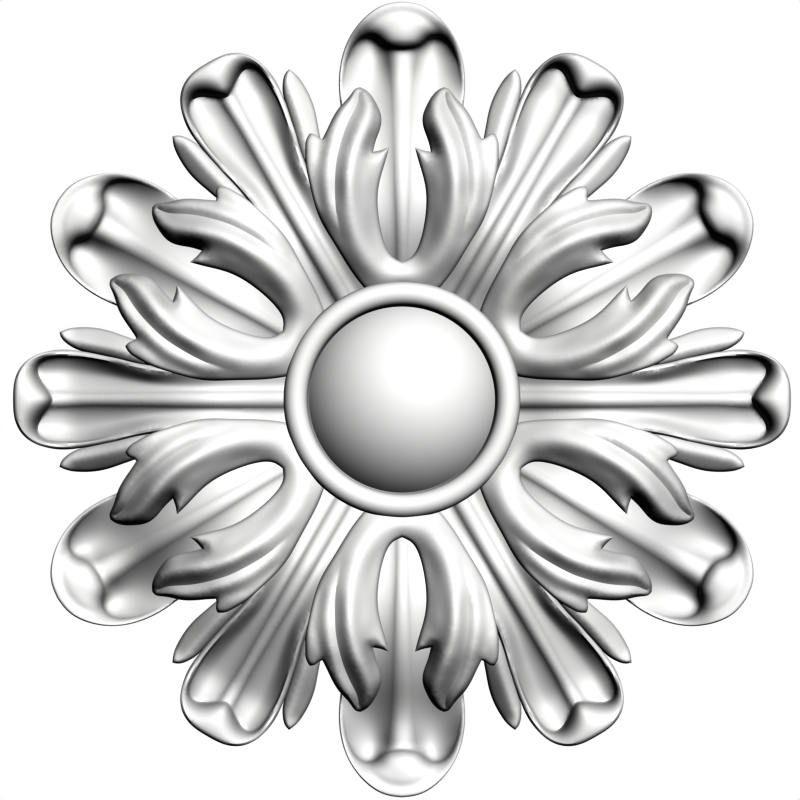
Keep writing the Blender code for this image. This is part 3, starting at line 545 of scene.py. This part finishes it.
# %% Lay a net over an outline
NET_STEP = 0.68
NET_WELD = 0.02
ROW_STEP = NET_STEP * np.sqrt(0.75)
EDGE_RINGS = (0.16, 0.45, 0.95)
EDGE_RING_NEAR = 0.97
LATTICE_FROM_RING = NET_STEP * 0.6
LATTICE_FROM_LINE = NET_STEP * 0.55
LINE_FROM_EDGE = NET_STEP * 0.5
NEVER_ZERO = 1e-9


def anticlockwise(outline):
    x, y = outline[:, 0], outline[:, 1]
    area = np.sum(x * np.roll(y, -1) - y * np.roll(x, -1))
    return outline if area > 0 else outline[::-1]


def rings_inside(outline, radius, closed_line):
    ahead = np.roll(outline, -1, axis=0) - np.roll(outline, 1, axis=0)
    inward = np.column_stack([-ahead[:, 1], ahead[:, 0]])
    inward /= np.linalg.norm(inward, axis=1)[:, None] + NEVER_ZERO
    rings = []
    for place in EDGE_RINGS:
        ring = outline[:, :2] + place * radius * inward
        distance, side = nearest(ring[:, 0], ring[:, 1], closed_line)
        rings.append(ring[(side > 0) & (distance > EDGE_RING_NEAR * place * radius)])
    return rings


def net_points(outline, lines, radius):
    outline = anticlockwise(outline)
    closed_line = np.vstack([outline, outline[:1]])
    rings = rings_inside(outline, radius, closed_line)
    low, high = outline[:, :2].min(axis=0), outline[:, :2].max(axis=0)
    rows = np.arange(low[1], high[1], ROW_STEP)
    places = np.arange(low[0], high[0] + NET_STEP, NET_STEP)
    lattice = np.array([(u + NET_STEP / 2 * (i % 2), v) for i, v in enumerate(rows) for u in places])
    distance, side = nearest(lattice[:, 0], lattice[:, 1], closed_line)
    lattice = lattice[(side > 0) & (distance > radius * EDGE_RINGS[-1] + LATTICE_FROM_RING)]
    drawn = []
    for line in lines:
        away, side = nearest(line[:, 0], line[:, 1], closed_line)
        drawn.append(line[(side > 0) & (away > LINE_FROM_EDGE)][:, :2])
        if len(drawn[-1]) > 1:
            away = nearest(lattice[:, 0], lattice[:, 1], drawn[-1])[0]
            lattice = lattice[away > LATTICE_FROM_LINE]
    return rings, drawn, lattice


def carved_face(name, outline, lines, radius, height):
    rings, drawn, lattice = net_points(outline, lines, radius)
    points = np.vstack([outline[:, :2], *drawn, *rings, lattice])
    edges = []
    first = len(outline)
    for line in drawn:
        edges += [(i, i + 1) for i in range(first, first + len(line) - 1)]
        first += len(line)
    found = delaunay_2d_cdt([Vector(p) for p in points], edges, [list(range(len(outline)))], 1,
                            NET_WELD)
    flat = np.array([tuple(p) for p in found[0]])
    h = height(flat[:, 0], flat[:, 1])
    face = bpy.data.meshes.new(name)
    face.from_pydata(np.column_stack([flat[:, 0], -h, flat[:, 1]]) * MM, [],
                     [tuple(f) for f in found[2]])
    obj = bpy.data.objects.new(name, face)
    bpy.context.scene.collection.objects.link(obj)
    return obj


# %% [markdown]
# The net is a skin with no thickness. Extruding all of it and squashing the copy flat behind
# the back turns it into a closed block with the carving on its front, the way you would do it
# by hand with E and then S, Y, 0. Each foot lies a little deeper than the last, so that no two
# share a plane when the leaves are joined.

# %% Give a leaf its block
FIRST_FOOT = 2.0
FOOT_STEP = 0.15
BEHIND = 60.0


def thicken(leaf, foot):
    pick(leaf)
    bpy.ops.object.mode_set(mode="EDIT")
    bpy.ops.mesh.select_all(action="SELECT")
    bpy.ops.mesh.extrude_region_move(TRANSFORM_OT_translate={"value": (0, BEHIND * MM, 0)})
    bpy.ops.transform.resize(value=(1, 0, 1), center_override=(0, foot * MM, 0))
    bpy.ops.mesh.select_all(action="SELECT")
    bpy.ops.mesh.normals_make_consistent(inside=False)
    bpy.ops.object.mode_set(mode="OBJECT")


def copy_round(pattern, turn):
    """A copy of a leaf with its own mesh, turned about the rosette's axis."""
    leaf = pattern.copy()
    leaf.data = pattern.data.copy()
    bpy.context.scene.collection.objects.link(leaf)
    leaf.rotation_euler = (0, np.radians(turn), 0)
    pick(leaf)
    bpy.ops.object.transform_apply(location=False, rotation=True, scale=False)
    return leaf


# %% [markdown]
# ## Carve one of each
# The rosette repeats six times, so only five patterns are needed: one wide petal, one narrow
# petal, a left and a right side leaf and one fork. The net gets extra lines where the relief
# turns quickly, along the feet of the ribs, in the fork's main valley and on both sides of the
# lips, because an even lattice alone would leave a saw edge there.

# %% Make the five patterns
FOLD = 6
BETWEEN = 180 / FOLD
RIB_SPAN = (30.0, 87.0)
LIP_OFFSETS = (-0.35, 0.0, 0.3, 0.75)
FOOT_OFFSETS = (-0.35, 0.0, 0.35)


def strip(line, offsets):
    """The line and its copies moved sideways, which give the net a neat strip of faces there."""
    line = line[:, :2]
    ahead = np.gradient(line, axis=0)
    outward = np.column_stack([ahead[:, 1], -ahead[:, 0]])
    outward /= np.linalg.norm(outward, axis=1)[:, None]
    return [line + outward * offset for offset in offsets]


def lip_lines(lip):
    return strip(drawn_line(both_sides(np.array(lip)), LIP_DETAIL), LIP_OFFSETS)


def rib_lines(rib_edge):
    rib_v = np.arange(*RIB_SPAN, NET_STEP)
    rib = np.column_stack([spline(rib_edge)(rib_v), rib_v])
    return strip(rib, FOOT_OFFSETS) + strip(flipped(rib), FOOT_OFFSETS)


wide_lines = lip_lines(WIDE_LIP) + rib_lines(WIDE_RIB_EDGE)
narrow_lines = lip_lines(NARROW_LIP) + rib_lines(NARROW_RIB_EDGE)
wide = carved_face("wide_petal", wide_outline, wide_lines, WIDE_EDGE[0], wide_petal_height)
narrow = carved_face("narrow_petal", narrow_outline, narrow_lines, NARROW_EDGE[0],
                     narrow_petal_height)
right_leaf = carved_face("right_leaf", leaf_outline[:-1], [leaf_spine], LEAF_EDGE[0], leaf_height)
left_leaf = carved_face("left_leaf", flipped(leaf_outline[:-1])[::-1], [flipped(leaf_spine)],
                        LEAF_EDGE[0], lambda u, v: leaf_height(-u, v))
fork_lines = [drawn_line(line, NET_STEP) for line in FORK_LINES if line is not FORK_VALLEY]
fork_lines += strip(drawn_line(FORK_VALLEY, NET_STEP), FOOT_OFFSETS)
fork = carved_face("fork", fork_outline, fork_lines + [flipped(line) for line in fork_lines],
                   FORK_EDGE[0], fork_height)
patterns = [(wide, 0), (narrow, BETWEEN), (right_leaf, BETWEEN), (left_leaf, BETWEEN), (fork, 0)]
for leaf, _ in patterns:
    print(size_of(leaf))

# %% [markdown]
# ## Copy them round and join them
# A carver marks the whole face out with dividers and cuts every petal in the same block. Here
# each pattern is copied six times, turned 60 degrees at a time about the rosette's axis, and a
# union joins every copy to the boss, so that one skin is left, as on the real piece. Both
# bodies of each union are closed, so the quick MANIFOLD solver can do it on a net this fine.

# %% Join everything
for i, (leaf, _) in enumerate(patterns):
    thicken(leaf, FIRST_FOOT + FOOT_STEP * i)

for leaf, start in patterns:
    for place in range(FOLD):
        copy = copy_round(leaf, start + place * 360 / FOLD)
        join = rosette.modifiers.new("join", "BOOLEAN")
        join.operation = "UNION"
        join.solver = "MANIFOLD"
        join.object = copy
        apply_all(rosette)
        bpy.data.objects.remove(copy, do_unlink=True)
    bpy.data.objects.remove(leaf, do_unlink=True)
print(size_of(rosette))

# %% [markdown]
# The feet of the leaves reach two to three millimetres behind the back, each kind to a depth of
# its own.
# Cutting them all away with one large block leaves the flat face that goes against the door.
# Triangles of even shape shade better than the long ones that a cut leaves, and edges sharper
# than 38 degrees stay crisp.

# %% Plane the back flat
BLOCK = 240 * MM
CRISP_ANGLE = 38
bpy.ops.object.select_all(action="DESELECT")
bpy.ops.mesh.primitive_cube_add(size=BLOCK, location=(0, BLOCK / 2, 0))
waste = bpy.context.object
cut = rosette.modifiers.new("plane_back", "BOOLEAN")
cut.operation = "DIFFERENCE"
cut.solver = "MANIFOLD"
cut.object = waste
apply_all(rosette)
bpy.data.objects.remove(waste, do_unlink=True)

pick(rosette)
bpy.ops.object.mode_set(mode="EDIT")
bpy.ops.mesh.select_all(action="SELECT")
bpy.ops.mesh.quads_convert_to_tris(ngon_method="BEAUTY")
bpy.ops.object.mode_set(mode="OBJECT")
bpy.ops.object.shade_smooth_by_angle(angle=np.radians(CRISP_ANGLE))
print(size_of(rosette))

# %% [markdown]
# ## White satin paint
# The piece is taken to be wood under thin white paint with a low sheen. Nothing on such a piece
# is quite even: the paint is a little thicker in one place than in the next, the brush has left
# fine strokes, and the grain of the wood stands up under it. A small class keeps the node maths
# readable: it wraps a socket, and adding or multiplying two of them adds the Math node for it.

# %% Sockets that do maths
class Wire:
    """One socket of a node tree that understands +, - and *, or the bare tree to start from."""

    def __init__(self, tree, socket=None):
        self.tree = tree
        self.socket = socket

    def node(self, kind, out=0, inputs=None, **settings):
        """Adds any node: its settings first, then the values or wires of its sockets."""
        node = self.tree.nodes.new(kind)
        for name, value in settings.items():
            setattr(node, name, value)
        for name, value in (inputs or {}).items():
            if isinstance(value, Wire):
                self.tree.links.new(value.socket, node.inputs[name])
            else:
                node.inputs[name].default_value = value
        return Wire(self.tree, node.outputs[out])

    def math(self, operation, first, second):
        return self.node("ShaderNodeMath", inputs={0: first, 1: second}, operation=operation)

    def __add__(self, other):
        return self.math("ADD", self, other)

    def __sub__(self, other):
        return self.math("SUBTRACT", self, other)

    def __rsub__(self, other):
        return self.math("SUBTRACT", other, self)

    def __mul__(self, other):
        return self.math("MULTIPLY", self, other)

    __radd__ = __add__
    __rmul__ = __mul__

    def to(self, socket):
        self.tree.links.new(self.socket, socket)


# %% [markdown]
# The paint itself: soft noise shifts the white a little, a long stretched noise stands for the
# grain, and a fine one for the brush. The grain and the brush reach the surface as a bump of
# at most three hundredths of a millimetre, so that the carving keeps its own clean shading.

# %% Mix the paint
PAINT_THIN = (0.80, 0.80, 0.80, 1)
PAINT_THICK = (0.83, 0.83, 0.825, 1)
CLOUD_SCALE = 28.0
BRUSH_SCALE = 900.0
GRAIN_STRETCH = (900.0, 900.0, 45.0)
GRAIN_SHARE = 0.7
DULLEST = 0.62
CLOUD_SHEEN = 0.08
GRAIN_SHEEN = 0.06
RELIEF_DEPTH = 0.03

paint = bpy.data.materials.new("white_satin_paint")
paint.use_nodes = True
tree = paint.node_tree
shader = tree.nodes["Principled BSDF"]
start = Wire(tree)
place = start.node("ShaderNodeTexCoord", out="Object")
cloud = start.node("ShaderNodeTexNoise",
                   inputs={"Vector": place, "Scale": CLOUD_SCALE, "Detail": 3.0})
along_grain = start.node("ShaderNodeMapping",
                         inputs={"Vector": place, "Scale": GRAIN_STRETCH})
grain = start.node("ShaderNodeTexNoise",
                   inputs={"Vector": along_grain, "Scale": 1.0, "Detail": 4.0, "Roughness": 0.6})
brush = start.node("ShaderNodeTexNoise",
                   inputs={"Vector": place, "Scale": BRUSH_SCALE, "Detail": 2.0})
white = start.node("ShaderNodeMix", out=2, data_type="RGBA",
                   inputs={0: cloud, 6: PAINT_THIN, 7: PAINT_THICK})
white.to(shader.inputs["Base Color"])
sheen_spread = DULLEST - cloud * CLOUD_SHEEN - grain * GRAIN_SHEEN
sheen_spread.to(shader.inputs["Roughness"])
relief = grain * GRAIN_SHARE + brush * (1 - GRAIN_SHARE)
bump = start.node("ShaderNodeBump",
                  inputs={"Strength": 0.12, "Distance": RELIEF_DEPTH * MM, "Height": relief})
bump.to(shader.inputs["Normal"])
shader.inputs["Specular IOR Level"].default_value = 0.14
rosette.data.materials.clear()
rosette.data.materials.append(paint)
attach(rosette, "root")
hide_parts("rosette")
print("paint:", len(tree.nodes), "nodes")

# %% [markdown]
# ## Light
# The photograph has one lamp at the upper right, close to the line of sight, and no cast
# shadows: a slope is as light as it faces the lamp, and slopes that lean away go black. One
# sun with its shadows off does the same. Three more suns stand behind the rosette, where they
# reach next to nothing that the photograph shows, so that the back and the sides aren't black
# when you walk round it; they are left out of reflections, which would sparkle along the edges.
# The background is white to the camera and gives the carving only a trace of light. Neither the
# floor nor the rosette throws light back on the carving, as in the photograph, and the floor
# glows a little in place of the light of a room.

# %% Studio
KEY_TOWARD = (0.2113, -0.9063, 0.3660)
KEY_STRENGTH = 4.1
BACK_LEAN = np.radians(20)
BACK_ANGLES = (60, 180, 300)
BACK_STRENGTH = 1.1
SUN_SPREAD = 3
FILL = 0.015


def add_sun(name, toward, strength):
    sun = bpy.data.lights.new(name, "SUN")
    sun.energy = strength
    sun.angle = np.radians(SUN_SPREAD)
    sun.use_shadow = False
    lamp = bpy.data.objects.new(name, sun)
    lamp.rotation_euler = Vector(toward).to_track_quat("Z", "Y").to_euler()
    bpy.context.scene.collection.objects.link(lamp)
    return lamp


add_sun("key", KEY_TOWARD, KEY_STRENGTH)
for angle in BACK_ANGLES:
    side, up = np.cos(np.radians(angle)), np.sin(np.radians(angle))
    toward = (np.sin(BACK_LEAN) * side, np.cos(BACK_LEAN), np.sin(BACK_LEAN) * up)
    add_sun(f"back_light_{angle}", toward, BACK_STRENGTH).visible_glossy = False

world = bpy.data.worlds.new("studio")
bpy.context.scene.world = world
world.use_nodes = True
sky = Wire(world.node_tree)
background = world.node_tree.nodes["Background"]
seen = sky.node("ShaderNodeLightPath", out="Is Camera Ray")
level = seen + (1 - seen) * FILL
level.to(background.inputs["Strength"])
background.inputs["Color"].default_value = (1, 1, 1, 1)

FLOOR_TOP = -0.125
FLOOR_RADIUS = 0.42
FLOOR_THICK = 0.01
FLOOR_SIDES = 96
bpy.ops.object.select_all(action="DESELECT")
bpy.ops.mesh.primitive_cylinder_add(vertices=FLOOR_SIDES, radius=FLOOR_RADIUS, depth=FLOOR_THICK,
                                    location=(0, 0, FLOOR_TOP - FLOOR_THICK / 2))
floor = bpy.context.object
floor.name = "floor"
pale = bpy.data.materials.new("pale_floor")
pale.use_nodes = True
coat = pale.node_tree.nodes["Principled BSDF"]
coat.inputs["Base Color"].default_value = (0.8, 0.8, 0.8, 1)
coat.inputs["Roughness"].default_value = 0.9
coat.inputs["Emission Color"].default_value = (1, 1, 1, 1)
coat.inputs["Emission Strength"].default_value = 0.38
floor.data.materials.append(pale)
for obj in (floor, rosette):
    obj.visible_diffuse = False
    obj.visible_glossy = False

scene = bpy.context.scene
scene.display_settings.display_device = "sRGB"
scene.view_settings.view_transform = "Raw"
print("key lamp strength", KEY_STRENGTH, "fill", FILL)

# %% [markdown]
# ## Camera
# The photograph looks straight at the rosette through a long lens. It is 800 pixels wide, and
# the rosette spans 795.5 of them from tip to tip, with its centre at (402, 399.5).

# %% Camera
PHOTO = 800
SPAN_PIXELS = 795.5
CENTRE_PIXEL = (402.0, 399.5)
DISTANCE = 3.0
FAR = 20.0

pixel = 2 * WIDE_LENGTH * MM / SPAN_PIXELS
camera_data = bpy.data.cameras.new("camera")
camera_data.type = "ORTHO"
camera_data.ortho_scale = PHOTO * pixel
camera_data.shift_x = (PHOTO / 2 - CENTRE_PIXEL[0]) / PHOTO
camera_data.shift_y = (CENTRE_PIXEL[1] - PHOTO / 2) / PHOTO
camera_data.clip_end = FAR
camera = bpy.data.objects.new("camera", camera_data)
camera.location = (0, -DISTANCE, 0)
camera.rotation_euler = (np.radians(90), 0, 0)
scene.collection.objects.link(camera)
scene.camera = camera
print("camera sees", round(1000 * camera_data.ortho_scale, 1), "mm across")

# %% [markdown]
# ## Finish
# The view layer is updated, so that every change above is in place.

# %% Finish
bpy.context.view_layer.update()
